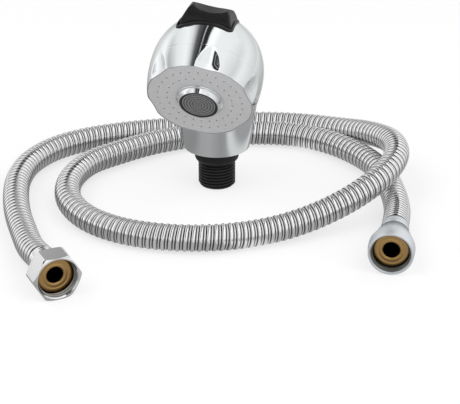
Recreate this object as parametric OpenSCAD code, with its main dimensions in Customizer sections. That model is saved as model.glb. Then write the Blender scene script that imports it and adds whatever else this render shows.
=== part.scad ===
// Pull-out rinse head with a loose stainless connection hose.
// Origin: centre of the head's inlet thread, on its end face. +Z runs up the inlet's
// axis, the spray face looks towards -Y and down, and the surface both stand on is z = 0.

/* [Inlet thread] */
// Major diameter of the male inlet thread (G 1/2)
thread_d = 20.955; // [16:0.005:24]
// Threaded length of the inlet
thread_l = 14; // [10:0.5:16]
// Diameter of the black collar above the thread
collar_d = 24.8; // [22:0.2:26]

/* [Head] */
// Outer diameter of the neck
neck_d = 36.8; // [34:0.2:40]
// Height of the neck's lower rim above the inlet's end
neck_z = 23.6; // [20:0.2:26]
// Angle of the spray face below straight ahead
face_tilt = 30; // [26:1:34]
// How far the face's centre is in front of the inlet's axis
face_reach = 39.6; // [36:0.2:42]
// Height of the face's centre
face_z = 65.5; // [62:0.5:68]
// Outer diameter of the rim around the face
rim_d = 57.2; // [55:0.2:59]
// Largest diameter of the bulb
bulb_d = 61.4; // [60:0.2:63]
// Depth of the bulb behind the face
bulb_depth = 51; // [48:0.5:54]
// Wall of the chromed shell
shell_wall = 2.2; // [1.8:0.1:2.6]
// Number of finger scoops around the rim
scoops = 6; // [4:1:8]

/* [Spray face and aerator] */
// Diameter of the spray plate's spigot, inside the shell
plate_d = 52; // [50:0.2:52.4]
// Holes in the outer ring
outer_holes = 30; // [20:1:36]
// Holes in the inner ring
inner_holes = 25; // [15:1:30]
// Diameter of each spray hole
hole_d = 0.9; // [0.7:0.1:1.2]
// Diameter of the aerator's free end
aerator_d = 21.6; // [20:0.2:22]
// How far the aerator stands proud of the plate
aerator_h = 3.4; // [2.5:0.1:4.5]

/* [Rocker] */
// Tilt of the rocker at rest, either side of level
rocker_tilt = 8.5; // [6:0.5:9]
// Length of the rocker, side to side
rocker_l = 27; // [24:0.5:28]
// Depth of the rocker, front to back
rocker_w = 17; // [14:0.5:18]
// Diameter of the rocker's pivot pin
pin_d = 2.5; // [2:0.1:3]

/* [Hose] */
// Outer diameter of the hose
hose_d = 14.4; // [13:0.2:15]
// Bore of the hose's inner tube
liner_bore = 8.6; // [7:0.2:9]
// Width across the flats of the hexagon nut
hex_af = 22.5; // [22.2:0.1:24]
// Largest diameter of the conical nut
cone_d = 24; // [23.4:0.2:25]
// Minor diameter of both nuts' thread (G 1/2)
nut_bore = 18.631; // [18:0.001:19]

/* [Hidden] */

$fn = 72;
eps = 0.01;
gap = 0.05;

// ---- bulb -------------------------------------------------------------------------------
// Both ends of the bulb are superellipses that meet at its widest ring.
bulb_r = bulb_d / 2;
widest = 17.5;
bulb_power = 2.2;
back_reach = bulb_depth - widest;
front_reach = widest / pow(1 - pow(rim_d / bulb_d, bulb_power), 1 / bulb_power);
function bulge(u) = pow(max(0, 1 - pow(abs(u), bulb_power)), 1 / bulb_power);
// Radius of the bulb at depth t behind the face, pulled in by inset
function bulb_at(t, inset = 0) =
  t < widest
  ? bulge((widest - t) / front_reach) * bulb_r - inset
  : bulge((t - widest) / (back_reach - inset)) * (bulb_r - inset);

// ---- head heights -----------------------------------------------------------------------
neck_r = neck_d / 2;
thread_r = thread_d / 2;
collar_r = collar_d / 2;
neck_inner_r = neck_r - shell_wall;
floor_t = 3;
neck_floor = neck_z + floor_t;
flange_t = 2.4;
spigot_r = 7.6;
spigot_top = 38;

// ---- rocker and spool -------------------------------------------------------------------
rocker_y = -20;
pivot_z = 98;
arm_l = 10;
spool_z = pivot_z - arm_l;
spool_r = 4.5;
spool_l = 26;
spool_shift = -arm_l * sin(rocker_tilt);
bezel_l = 31;
bezel_w = 20.8;
bezel_proud = 1;
pin_l = 19.6;

// ---- nuts -------------------------------------------------------------------------------
// Distances here run back from a nut's mouth, along its axis.
hex_look = 38;
cone_look = 3;
recess = 4.6;
tail_flange = 4.3;
countersink = 1.2;
slip_t = 0.6;
shoulder = recess + tail_flange + slip_t + 2 * gap;
hex_l = 12.4;
cone_l = 22.6;
hex_ferrule_end = 24;
cone_ferrule_end = 30.5;
flange_r = 9.25;
shank_r = 5.6;
barb_r = 4;
tail_bore_r = 2.8;

// ---- hose route -------------------------------------------------------------------------
hose_r = hose_d / 2;
hose_sides = 12;
rings_per_span = 2;
liner_r = 5.7;
cover_bore_r = 6.1;
liner_in_ferrule = 6;
// Centre line from the hexagon nut's ferrule to the conical nut's ferrule, laid on z = 0
ROUTE = [
  [-59, -132.5, 11.4], [-70, -118, 9.2], [-80, -100, 7.6], [-91, -79, 7.5], [-100, -57, 7.5],
  [-106, -35, 7.5], [-107, -12, 7.5], [-100, 10, 7.5], [-85, 28, 7.5], [-63, 43, 7.5],
  [-38, 55, 7.5], [-13, 66, 7.5], [12, 75, 7.5], [36, 77.5, 7.5], [60, 69.5, 10.2],
  [80, 53.5, 16], [95, 32, 21], [100.5, 6, 23], [95, -19.5, 21], [81, -40, 15.7],
  [62, -56.5, 10.2], [41, -71, 7.5], [18, -83, 7.5], [-7, -88, 7.5], [-32, -85.5, 7.5],
  [-54, -74.5, 7.5], [-70, -55.5, 7.5], [-77, -31, 7.5], [-74, -6, 7.5], [-61, 14, 7.5],
  [-44, 33, 7.5], [-22, 48, 7.5], [2, 57, 7.5], [27, 61.5, 7.5], [51, 57, 7.5],
  [71.5, 44, 7.5], [88.5, 24.5, 7.5], [99, 0, 7.5], [106, -27, 7.5], [109, -60.5, 12]
];
hex_axis = [sin(hex_look), -cos(hex_look), 0];
cone_axis = [sin(cone_look), -cos(cone_look), 0];
hex_mouth = ROUTE[0] + hex_ferrule_end * hex_axis;
cone_mouth = ROUTE[len(ROUTE) - 1] + cone_ferrule_end * cone_axis;

// ======================= sweeping ========================================================

function unit(v) = v / norm(v);

// Catmull-Rom point between b and c
function spline(a, b, c, d, u) =
  0.5 * (2 * b + (c - a) * u + (2 * a - 5 * b + 4 * c - d) * u * u
    + (3 * b - a - 3 * c + d) * u * u * u);

function smooth(path, k) = [
  for (i = [0 : len(path) - 2], j = [0 : k - 1])
    spline(i == 0 ? 2 * path[0] - path[1] : path[i - 1], path[i], path[i + 1],
      i == len(path) - 2 ? 2 * path[i + 1] - path[i] : path[i + 2], j / k),
  path[len(path) - 1]
];

// Direction of a path at point i, with both ends' directions given
function heading(path, i, first, last) =
  i == 0 ? first : i == len(path) - 1 ? last : unit(path[i + 1] - path[i - 1]);

function ring(centre, along, r, n) =
  let (side = unit(cross(along, [0, 0, 1])), up = cross(side, along))
  [for (k = [0 : n - 1]) centre + r * (cos(360 * k / n) * side + sin(360 * k / n) * up)];

// A tube of n sides along a path, from bore radius r_in to outer radius r_out
module tube_along(path, first, last, r_out, r_in, n) {
  m = len(path);
  points = [
    for (r = [r_out, r_in], i = [0 : m - 1]) each ring(path[i], heading(path, i, first, last), r, n)
  ];
  // Index of corner k on ring i, of the outer wall (0) or of the bore (1)
  function at(wall, i, k) = (wall * m + i) * n + k % n;
  faces = [
    for (i = [0 : m - 2], k = [0 : n - 1]) each [
      [at(0, i, k), at(0, i, k + 1), at(0, i + 1, k + 1)],
      [at(0, i, k), at(0, i + 1, k + 1), at(0, i + 1, k)],
      [at(1, i, k), at(1, i + 1, k + 1), at(1, i, k + 1)],
      [at(1, i, k), at(1, i + 1, k), at(1, i + 1, k + 1)]
    ],
    for (k = [0 : n - 1]) each [
      [at(0, 0, k), at(1, 0, k), at(1, 0, k + 1)],
      [at(0, 0, k), at(1, 0, k + 1), at(0, 0, k + 1)],
      [at(0, m - 1, k), at(1, m - 1, k + 1), at(1, m - 1, k)],
      [at(0, m - 1, k), at(0, m - 1, k + 1), at(1, m - 1, k + 1)]
    ]
  ];
  polyhedron(points, faces, convexity = 10);
}

// A round wire wound up the Z axis
module helix(mean_r, wire_r, z0, z1, turns, per_turn = 14, n = 8) {
  steps = turns * per_turn;
  function wire_at(i) = let (a = 360 * i / per_turn)
    [mean_r * cos(a), mean_r * sin(a), z0 + (z1 - z0) * i / steps];
  points = [
    for (i = [0 : steps]) let (a = 360 * i / per_turn, c = wire_at(i)) for (k = [0 : n - 1])
      c + wire_r * (cos(360 * k / n) * [cos(a), sin(a), 0] + sin(360 * k / n) * [0, 0, 1])
  ];
  faces = [
    [for (k = [0 : n - 1]) k],
    [for (k = [0 : n - 1]) steps * n + n - 1 - k],
    for (i = [0 : steps - 1], k = [0 : n - 1])
      [i * n + k, (i + 1) * n + k, (i + 1) * n + (k + 1) % n, i * n + (k + 1) % n]
  ];
  polyhedron(points, faces, convexity = 10);
}

// ======================= frames ==========================================================

// Face frame: +Z looks out of the face, so depth behind the face is -Z; +Y is up the face.
module face_frame() { translate([0, -face_reach, face_z]) rotate([90 + face_tilt, 0, 0]) children(); }

// A cylinder of radius r from depth t0 to depth t1 behind the face
module disc(r, t0, t1) { translate([0, 0, -t1]) cylinder(r = r, h = t1 - t0); }

module tube(r_out, r_in, h) {
  difference() {
    cylinder(r = r_out, h = h);
    translate([0, 0, -eps]) cylinder(r = r_in, h = h + 2 * eps);
  }
}

module torus(r, wire_r) { rotate_extrude() translate([r, 0]) circle(r = wire_r, $fn = 24); }

// Rocker frame: the pivot's height and line, turned to the rest position
module rocker_frame() {
  translate([0, rocker_y, pivot_z]) rotate([0, rocker_tilt, 0]) children();
}

// Spool frame: +Z runs along the spool, towards +X, from its middle at rest
module spool_frame() { translate([spool_shift, rocker_y, spool_z]) rotate([0, 90, 0]) children(); }

// Mouth frame: +Z looks out of a nut's mouth
module mouth_frame(mouth, look) { translate(mouth) rotate([90, 0, look]) children(); }

// A cylinder of radius r between distances s0 and s1 behind a mouth
module behind(r, s0, s1) { translate([0, 0, -s1]) cylinder(r = r, h = s1 - s0); }

// ======================= head: shell and face ============================================

// Depths here are behind the rim. The plate's visible cap sits inside the shell's lip.
outline_steps = 40;
cap_t = 1.2;
cap_set_back = 0.1;
lip_t = 0.6;
plate_t = 2.2;
seal_t = 1.16;
divider_front = 3.4;
divider_back = 5.6;
body_front = 5.65;
stem_r = 9.55;
outer_holes_r = 23;
inner_holes_r = 17.75;
// The bulb behind depth t0, pulled in by inset
module bulb(inset = 0, t0 = 0) {
  t1 = bulb_depth - inset;
  outline = [for (i = [0 : outline_steps - 1]) let (t = t0 + (t1 - t0) * i / outline_steps)
    [bulb_at(t, inset), -t]];
  face_frame() rotate_extrude() polygon(concat([[0, -t0]], outline, [[0, -t1]]));
}

// The swept back of the head, from the neck to the bulb's rear
module nape(inset = 0) {
  hull() {
    translate([0, 0, neck_z + (inset > 0 ? floor_t : 0)])
      cylinder(r = neck_r - inset, h = 10, $fn = 32);
    face_frame() disc(bulb_at(28) - inset, 28, 28.5, $fn = 32);
    face_frame() disc(bulb_at(40) - inset, 40, 40.5, $fn = 32);
  }
}

// Finger scoops: flutes that start at the rim and run out into the bulb's side
scoop_l = 13.4;
scoop_depth = 1.1;
scoop_r = 60;
scoop_first = 15;
runout = 0.15;
// The flutes' cutters, moved in by inset; each is a cone trimmed to a block around its flute
module scoop_cuts(inset = 0) {
  end_r = scoop_r - (bulb_at(scoop_l) + runout - rim_d / 2 + scoop_depth);
  slope = (scoop_r - end_r) / scoop_l;
  face_frame() for (k = [0 : scoops - 1]) rotate([0, 0, scoop_first + 360 * k / scoops])
    intersection() {
      translate([rim_d / 2 - scoop_depth + scoop_r - inset, 0, -scoop_l])
        cylinder(r1 = end_r, r2 = scoop_r + slope, h = scoop_l + 1, $fn = 180);
      translate([24, -8.5, -scoop_l - 1]) cube([12, 17, scoop_l + 4]);
    }
}

// The face's scalloped outline pulled in by inset, from depth t0 to t1
module face_disc(inset, t0, t1) {
  difference() {
    face_frame() disc(rim_d / 2 - inset, t0, t1);
    scoop_cuts(inset);
  }
}

module rocker_pocket(margin = 0) {
  corner = 3;
  l = bezel_l / 2 - corner + margin;
  w = bezel_w / 2 - corner + margin;
  translate([0, rocker_y, pivot_z - 4]) linear_extrude(30) {
    square([2 * l + 2 * corner, 2 * w], center = true);
    square([2 * l, 2 * w + 2 * corner], center = true);
    for (x = [-l, l], y = [-w, w]) translate([x, y]) circle(r = corner);
  }
}

module body_shell() {
  color("gainsboro") difference() {
    union() {
      difference() {
        bulb();
        scoop_cuts();
      }
      nape();
    }
    // hollow inside, open at the face, with a seat for the spray plate
    bulb(shell_wall);
    face_disc(lip_t - gap, -1, cap_t + gap);
    nape(shell_wall);
    rocker_pocket(gap);
    translate([0, 0, neck_z - 1]) cylinder(r = collar_r + gap, h = floor_t + 2);
  }
}

module spray_face() {
  color([0.66, 0.66, 0.67]) difference() {
    union() {
      face_disc(lip_t, cap_set_back, cap_t);
      face_frame() disc(plate_d / 2, cap_t - eps, plate_t);
    }
    face_frame() {
      disc(stem_r, -1, 4);
      for (k = [0 : outer_holes - 1]) rotate([0, 0, 0.9 + 360 * k / outer_holes])
        translate([outer_holes_r, 0, 0]) disc(hole_d / 2, -1, 4, $fn = 16);
      for (k = [0 : inner_holes - 1]) rotate([0, 0, 6.4 + 360 * k / inner_holes])
        translate([inner_holes_r, 0, 0]) disc(hole_d / 2, -1, 4, $fn = 16);
    }
  }
}

module face_seal() {
  color("dimgray") face_frame() translate([0, 0, -plate_t - 0.02 - seal_t]) tube(25.6, 24.4, seal_t);
}

screw_ring = 21.5;
module divider_screws_at() {
  for (a = [30, 150, 270]) rotate([0, 0, a]) translate([screw_ring, 0, 0]) children();
}

module flow_divider() {
  color("whitesmoke") face_frame() difference() {
    union() {
      disc(plate_d / 2, divider_front, divider_back);
      disc(11.6, divider_front, 9);
    }
    disc(stem_r - 0.1, 3, 10);
    divider_screws_at() disc(1.3, 3, 6);
    // ports from the outer chamber to the spray plate
    for (k = [0 : 11]) rotate([0, 0, 15 + 30 * k]) translate([16.2, 0, 0]) disc(1.5, 3, 6, $fn = 24);
  }
}

module aerator_collar() {
  end_r = aerator_d / 2;
  color("gainsboro") face_frame() difference() {
    union() {
      translate([0, 0, -0.08]) cylinder(r1 = end_r + 2, r2 = end_r + 1.3, h = 0.88);
      translate([0, 0, 0.8]) cylinder(r1 = end_r + 1.3, r2 = end_r, h = aerator_h - 0.8);
      disc(9.4, 0, 8.6);
    }
    disc(10.3, -aerator_h - 1, -0.6);
    disc(8, -1, 2);
    disc(7.2, 1, 9);
  }
}

module aerator_seal() {
  color("black") face_frame() translate([0, 0, 0.65]) tube(10.25, 9.3, aerator_h - 0.75);
}

module aerator_insert() {
  color([0.2, 0.2, 0.2]) face_frame() difference() {
    disc(9.25, -aerator_h + 0.3, -0.65);
    // rings of slots between concentric ribs
    for (r = [2.2 : 1.5 : 8.2]) translate([0, 0, aerator_h - 1.1])
      tube(r + 0.45, r - 0.45, 2);
    for (r = [2.2 : 3 : 8.2], k = [0 : 2 * round(r) - 1]) rotate([0, 0, 360 * k / (2 * round(r))])
      translate([r, 0, 0]) cylinder(r = 0.4, h = aerator_h, $fn = 16);
  }
}

module aerator_screens() {
  color("silver") face_frame() {
    for (t = [-0.5, 0.2, 0.9]) translate([0, 0, -t - 0.4]) difference() {
      cylinder(r = 7.9, h = 0.4);
      for (x = [-5 : 2 : 5], y = [-5 : 2 : 5]) translate([x, y, -1]) cylinder(r = 0.6, h = 2, $fn = 16);
    }
  }
}

// ======================= head: valve =====================================================

inlet_top = [0, 0, 47];
duct_top = [0, rocker_y + 4, spool_z - 8];

// A cylinder of radius r from point a to point b
module rod(a, b, r) {
  v = b - a;
  translate(a) rotate([0, acos(v[2] / norm(v)), atan2(v[1], v[0])]) cylinder(r = r, h = norm(v));
}

// Ports from the two chambers to the spool, as [across, up] the face
aerator_port = [-6.5, 6];
spray_port = [6.5, 12.8];
riser_x = 9.5;

module valve_body() {
  housing_r = 6.2;
  tube_r = 9.7;
  color("ivory") difference() {
    union() {
      face_frame() {
        disc(plate_d / 2, body_front, 10);
        disc(18, 10 - eps, 26);
        disc(13, 26 - eps, 31);
      }
      translate([0, rocker_y, spool_z]) rotate([0, 90, 0]) cylinder(r = housing_r, h = 28.6, center = true);
      translate([0, 0, 31]) cylinder(r = tube_r, h = 21);
      rod(inlet_top, duct_top, 7.4);
    }
    face_frame() {
      // outer chamber, with its screw bosses left standing
      difference() {
        disc(24, 5, 7.6);
        disc(13.5, 4, 8);
        divider_screws_at() disc(2.6, 4, 8);
      }
      disc(11.65, 5, 9.1);
      divider_screws_at() disc(1.27, 5, 12.1);
      translate(aerator_port) disc(1.8, 9, 28);
      translate(spray_port) disc(1.6, 7, 28);
    }
    // inlet: socket, duct, cross bore and two risers
    translate([0, 0, 30]) cylinder(r = spigot_r + gap, h = 8.1);
    translate([0, 0, 37]) cylinder(r = 4.5, h = 14);
    rod(inlet_top, duct_top, 4.2);
    translate(duct_top) rotate([0, 90, 0]) cylinder(r = 2.4, h = 2 * riser_x + 2, center = true);
    for (x = [-riser_x, riser_x]) rod(duct_top + [x, 0, 0], [x, rocker_y, spool_z], 1.8);
    // spool bore and the rocker arm's slot
    translate([0, rocker_y, spool_z]) rotate([0, 90, 0]) cylinder(r = spool_r + gap, h = 40, center = true);
    translate([-4.4, rocker_y - 2.7, spool_z]) cube([8.8, 5.4, 10]);
  }
}

module valve_body_screws() {
  color("silver") face_frame() divider_screws_at() {
    difference() {
      disc(2.3, 2.35, 3.38);
      for (a = [0, 90]) rotate([0, 0, a]) translate([-1.4, -0.3, -2.9]) cube([2.8, 0.6, 2]);
    }
    disc(1.22, 3.3, 12);
  }
}

inner_ring_x = 3.7;
outer_ring_x = 11.4;
module diverter_spool() {
  color("lightsteelblue") difference() {
    spool_frame() cylinder(r = spool_r, h = spool_l, center = true);
    // seal grooves and the two waists that pass water
    spool_frame() for (s = [-1, 1]) {
      for (x = [inner_ring_x, outer_ring_x]) translate([0, 0, s * x - 0.85]) tube(6, 2.95, 1.7);
      translate([0, 0, s * 7.6 - 2.2]) tube(6, 3.1, 4.4);
    }
    translate([spool_shift - 1.6, rocker_y - 6, spool_z - 1.8]) cube([3.2, 12, 8]);
  }
}

module spool_rings() {
  color("black") spool_frame() for (x = [-outer_ring_x, -inner_ring_x, inner_ring_x, outer_ring_x])
    translate([0, 0, x]) torus(3.74, 0.75);
}

// ======================= head: rocker ====================================================

module rocker_bezel() {
  color([0.12, 0.12, 0.12]) difference() {
    intersection() {
      rocker_pocket();
      bulb(-bezel_proud, 10);
    }
    translate([-rocker_l / 2 - 1.1, rocker_y - rocker_w / 2 - 0.4, 80])
      cube([rocker_l + 2.2, rocker_w + 0.8, 40]);
    translate([0, rocker_y, pivot_z]) rotate([90, 0, 0])
      cylinder(r = pin_d / 2 + 0.02, h = pin_l + 0.1, center = true);
  }
}

// Rocker's side view: an arch from its skirt up to its crown
arch_z = 3;
crown = 13.4;
function arch(u) = arch_z + (crown - arch_z) * pow(1 - pow(abs(u), 2.4), 1 / 2.4);
// Rocker's front view: two lobes with a saddle between them
lobe_x = 10.4;
saddle = 1.1;

module rocker_front_view() {
  half = rocker_l / 2;
  round_end = [for (a = [0 : 15 : 90]) [lobe_x + 1.6 * sin(a), crown - 1.6 + 1.6 * cos(a)]];
  right = concat([for (x = [0 : 2.6 : lobe_x - 0.1]) [x, crown - saddle * (1 - pow(x / lobe_x, 2))]],
    round_end, [[half, arch_z + 2.2], [half, 1.6], [4, -0.6]]);
  left = [for (i = [len(right) - 1 : -1 : 1]) [-right[i][0], right[i][1]]];
  polygon(concat(right, left));
}

module rocker_button() {
  half_w = rocker_w / 2;
  color([0.1, 0.1, 0.1]) rocker_frame() difference() {
    union() {
      intersection() {
        rotate([90, 0, 0]) linear_extrude(rocker_w, center = true) rocker_front_view();
        rotate([90, 0, 90]) linear_extrude(rocker_l + 2, center = true)
          polygon(concat([[-half_w, -4]], [for (i = [-12 : 12]) [half_w * i / 12, arch(i / 12)]],
            [[half_w, -4]]));
      }
      rotate([90, 0, 0]) cylinder(r = 3.1, h = rocker_w, center = true);
      translate([-0.8, -2.4, -arm_l]) cube([1.6, 4.8, arm_l]);
      translate([0, 0, -arm_l]) rotate([90, 0, 0]) cylinder(r = 1.5, h = 4.8, center = true);
    }
    rotate([90, 0, 0]) cylinder(r = pin_d / 2 + gap, h = rocker_w + 1, center = true);
  }
}

module rocker_pivot_pin() {
  color("silver") translate([0, rocker_y, pivot_z]) rotate([90, 0, 0])
    cylinder(r = pin_d / 2, h = pin_l, center = true);
}

// ======================= head: inlet =====================================================

connector_flange_z = neck_floor + gap;
ring_z = [32.85, 36.45];
module inlet_connector() {
  color([0.1, 0.1, 0.1]) difference() {
    union() {
      cylinder(r = thread_r, h = thread_l);
      translate([0, 0, thread_l - eps]) cylinder(r = thread_r - 0.6, h = 1);
      translate([0, 0, thread_l + 0.8]) cylinder(r1 = thread_r, r2 = collar_r, h = 2.2);
      translate([0, 0, thread_l + 3]) cylinder(r = collar_r, h = connector_flange_z - thread_l - 3 + eps);
      translate([0, 0, connector_flange_z]) cylinder(r = neck_inner_r - 0.3, h = flange_t);
      translate([0, 0, connector_flange_z]) cylinder(r = spigot_r, h = spigot_top - connector_flange_z);
    }
    for (z = ring_z) translate([0, 0, z - 0.85]) tube(12, spigot_r - 1.2, 1.7);
    translate([0, 0, -1]) cylinder(r = 8.3, h = 4.6);
    cylinder(r = 7.5, h = 21);
    cylinder(r = 5, h = 40);
  }
}

module connector_o_rings() {
  color("black") for (z = ring_z) translate([0, 0, z]) torus(spigot_r - 0.62, 0.56);
}

module inlet_washer() { color("black") translate([0, 0, 0.3]) tube(8.25, 5.6, 2.3); }

module inlet_strainer() {
  pitch = 1.9;
  color("silver") translate([0, 0, 2.65]) difference() {
    cylinder(r = 8.2, h = 0.8);
    for (i = [-3 : 3], j = [-3 : 3]) let (x = pitch * (i + j / 2), y = pitch * j * sin(60))
      if (norm([x, y]) < 6.2) translate([x, y, -1]) cylinder(r = 0.65, h = 3, $fn = 16);
  }
}

cage_z = 3.65;
seat_z = cage_z + 1.5;
spider_z = 15;
module check_valve_cage() {
  color("white") difference() {
    translate([0, 0, cage_z]) cylinder(r = 7.45, h = 20.9 - cage_z);
    translate([0, 0, 3]) cylinder(r = 3.8, h = 5);
    translate([0, 0, seat_z]) cylinder(r = 6.2, h = spider_z - seat_z);
    translate([0, 0, spider_z + 2]) cylinder(r = 6.2, h = 5);
    translate([0, 0, 14]) cylinder(r = 1.27, h = 4);
    for (a = [45 : 90 : 315]) rotate([0, 0, a]) translate([3.9, 0, 14]) cylinder(r = 1.7, h = 4);
  }
}

seal_z = seat_z + 0.03;
poppet_z = seal_z + 1;
disc_top = poppet_z + 1.2;
module check_valve_poppet() {
  color("white") {
    translate([0, 0, poppet_z]) cylinder(r = 4.8, h = 1.2);
    translate([0, 0, seal_z]) cylinder(r = 1.2, h = 18.4 - seal_z);
  }
}

module check_valve_seal() { color("black") translate([0, 0, seal_z]) tube(4.7, 1.22, 0.98); }

module check_valve_spring() {
  wire_r = 0.3;
  color("silver") helix(3, wire_r, disc_top + wire_r + 0.02, spider_z - wire_r - 0.02, 5);
}

// ======================= hose ============================================================

center_line = smooth(ROUTE, rings_per_span);
last_ring = len(ROUTE) - 1;

module hose_cover() {
  color("silver") tube_along(center_line, -hex_axis, cone_axis, hose_r, cover_bore_r, hose_sides);
}

module hose_liner() {
  path = concat([ROUTE[0] + liner_in_ferrule * hex_axis], center_line,
    [ROUTE[last_ring] + liner_in_ferrule * cone_axis]);
  color([0.12, 0.12, 0.12])
    tube_along(path, -hex_axis, cone_axis, liner_r, liner_bore / 2, hose_sides);
}

// Thread, countersink, relieved seat and rear hole, cut from either nut
module nut_inside(back) {
  behind(nut_bore / 2, -1, recess);
  behind(nut_bore / 2 + 0.3, recess - gap, shoulder);
  translate([0, 0, -countersink])
    cylinder(r1 = nut_bore / 2, r2 = thread_r + 0.15, h = countersink + eps);
  behind(shank_r + 0.06, 0, back + 1);
}

module hex_nut() {
  corner_r = hex_af / 2 / cos(30);
  bevel = 0.7;
  color("gainsboro") mouth_frame(hex_mouth, hex_look) difference() {
    intersection() {
      translate([0, 0, -hex_l]) cylinder(r = corner_r, h = hex_l, $fn = 6);
      translate([0, 0, -hex_l]) union() {
        cylinder(r1 = corner_r - 2.2, r2 = corner_r, h = 1.6);
        translate([0, 0, 1.6]) cylinder(r = corner_r, h = hex_l - 1.6 - bevel);
        translate([0, 0, hex_l - bevel]) cylinder(r1 = corner_r, r2 = corner_r - bevel, h = bevel);
      }
    }
    nut_inside(hex_l);
  }
}

module cone_nut() {
  r = cone_d / 2;
  color([0.78, 0.8, 0.83]) mouth_frame(cone_mouth, cone_look) difference() {
    rotate_extrude() polygon([[0, 0], [r - 0.6, 0], [r - 0.35, -0.3], [r, -7], [r - 0.2, -8.6],
      [r - 0.8, -10.4], [8.3, -cone_l + 0.6], [7.9, -cone_l], [0, -cone_l]]);
    nut_inside(cone_l);
  }
}

module tail(mouth, look, ferrule_start, ferrule_end) {
  color([0.72, 0.55, 0.25]) mouth_frame(mouth, look) difference() {
    union() {
      behind(flange_r, recess, recess + tail_flange);
      behind(shank_r, recess, ferrule_start + 1.5);
      behind(barb_r, recess, ferrule_end - 0.5);
    }
    // bored through, with a wider mouth and a turned groove around it
    behind(tail_bore_r, 0, 50);
    behind(4.2, 0, ferrule_start);
    translate([0, 0, -recess - 0.8]) cylinder(r1 = 4.2, r2 = 5, h = 0.8 + eps);
    translate([0, 0, -recess - 0.35]) tube(7.6, 7.2, 1);
  }
}

module slip_ring(mouth, look) {
  color("white") mouth_frame(mouth, look)
    translate([0, 0, -shoulder + gap]) tube(flange_r - 0.1, shank_r + 0.05, slip_t);
}

module ferrule(mouth, look, start, end) {
  color("gainsboro") mouth_frame(mouth, look) difference() {
    behind(hose_r + 0.2, start, end);
    behind(shank_r + 0.02, 0, end + 1);
    behind(cover_bore_r, start + 1.5, end + 1);
  }
}

hex_ferrule_start = hex_l + 0.2;
cone_ferrule_start = cone_l + 0.2;
module hex_end_tail() { tail(hex_mouth, hex_look, hex_ferrule_start, hex_ferrule_end); }
module hex_end_slip_ring() { slip_ring(hex_mouth, hex_look); }
module hex_end_ferrule() { ferrule(hex_mouth, hex_look, hex_ferrule_start, hex_ferrule_end); }
module cone_end_tail() { tail(cone_mouth, cone_look, cone_ferrule_start, cone_ferrule_end); }
module cone_end_slip_ring() { slip_ring(cone_mouth, cone_look); }
module cone_end_ferrule() { ferrule(cone_mouth, cone_look, cone_ferrule_start, cone_ferrule_end); }

body_shell();
spray_face();
face_seal();
flow_divider();
aerator_collar();
aerator_insert();
aerator_screens();
aerator_seal();
valve_body();
valve_body_screws();
diverter_spool();
spool_rings();
rocker_bezel();
rocker_button();
rocker_pivot_pin();
inlet_connector();
connector_o_rings();
inlet_washer();
inlet_strainer();
check_valve_cage();
check_valve_poppet();
check_valve_seal();
check_valve_spring();
hose_cover();
hose_liner();
hex_nut();
hex_end_tail();
hex_end_slip_ring();
hex_end_ferrule();
cone_nut();
cone_end_tail();
cone_end_slip_ring();
cone_end_ferrule();
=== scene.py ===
from math import cos, hypot, pi, radians, sin, sqrt

import bmesh
import bpy
import numpy as np
from mathutils import Matrix, Vector


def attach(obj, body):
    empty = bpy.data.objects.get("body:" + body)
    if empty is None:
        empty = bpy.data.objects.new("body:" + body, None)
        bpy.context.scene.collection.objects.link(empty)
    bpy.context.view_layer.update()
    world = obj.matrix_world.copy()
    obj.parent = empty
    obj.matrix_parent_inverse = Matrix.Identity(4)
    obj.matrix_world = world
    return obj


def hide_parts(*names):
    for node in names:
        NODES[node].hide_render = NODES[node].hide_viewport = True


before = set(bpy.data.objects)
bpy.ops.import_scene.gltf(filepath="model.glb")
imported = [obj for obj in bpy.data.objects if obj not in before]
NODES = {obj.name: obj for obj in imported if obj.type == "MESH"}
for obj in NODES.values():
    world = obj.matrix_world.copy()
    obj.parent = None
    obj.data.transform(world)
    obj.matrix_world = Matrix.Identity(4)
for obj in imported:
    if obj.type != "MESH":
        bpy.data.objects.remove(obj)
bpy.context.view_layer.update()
# Shapes are written in millimetres and become metres when a mesh is made.
MM = 0.001

# ---------------------------------------------------------------- driving dimensions
FACE_TILT = 30
FACE = Vector((0, -39.6, 65.5))
RIM_R = 28.6
BULB_R = 30.7
BULB_DEPTH = 51
WIDEST = 17.5
POWER = 2.2
WALL = 2.2
LIP = 0.6
PLATE_T = 1.2
SCOOPS = 6
SCOOP_FIRST = 15
SCOOP_L = 13.4
SCOOP_DEPTH = 1.1
NECK_R = 18.4
NECK_Z = 23.6
NECK_FLOOR = 3
COLLAR_R = 12.4
THREAD_R = 10.4775
THREAD_L = 14
THREAD_MINOR_R = 9.3155
THREAD_PITCH = 1.814
THREAD_STEPS = 8
AERATOR_R = 10.8
AERATOR_H = 3.4
ROCKER_Y = -20
PIVOT_Z = 98
ROCKER_TILT = 8.5
ROCKER_L = 27
ROCKER_W = 17
BEZEL_L = 31
BEZEL_W = 20.8
HOSE_D = 14.4
HOSE_PITCH = 3.7
HEX_AF = 22.5
HEX_L = 12.4
HEX_LOOK = 38
HEX_FERRULE = 24
CONE_R = 12
CONE_L = 22.6
CONE_LOOK = 3
CONE_FERRULE = 30.5
RECESS = 4.6
SHOULDER = 9.6
SHANK_R = 5.6
FLANGE_R = 9.25
FLANGE_T = 4.3
BARB_R = 4.0
TAIL_BORE_R = 2.8
TAIL_MOUTH_R = 4.2
SLEEVE_BORE_R = 6.1
SLEEVE_HOLE_R = 5.65
SHOULDER_DEPTH = 1.5
PORT_R = 7.6
SPIGOT_TOP = 38
# Points closer than this are one point.
MERGE = 0.002

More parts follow.
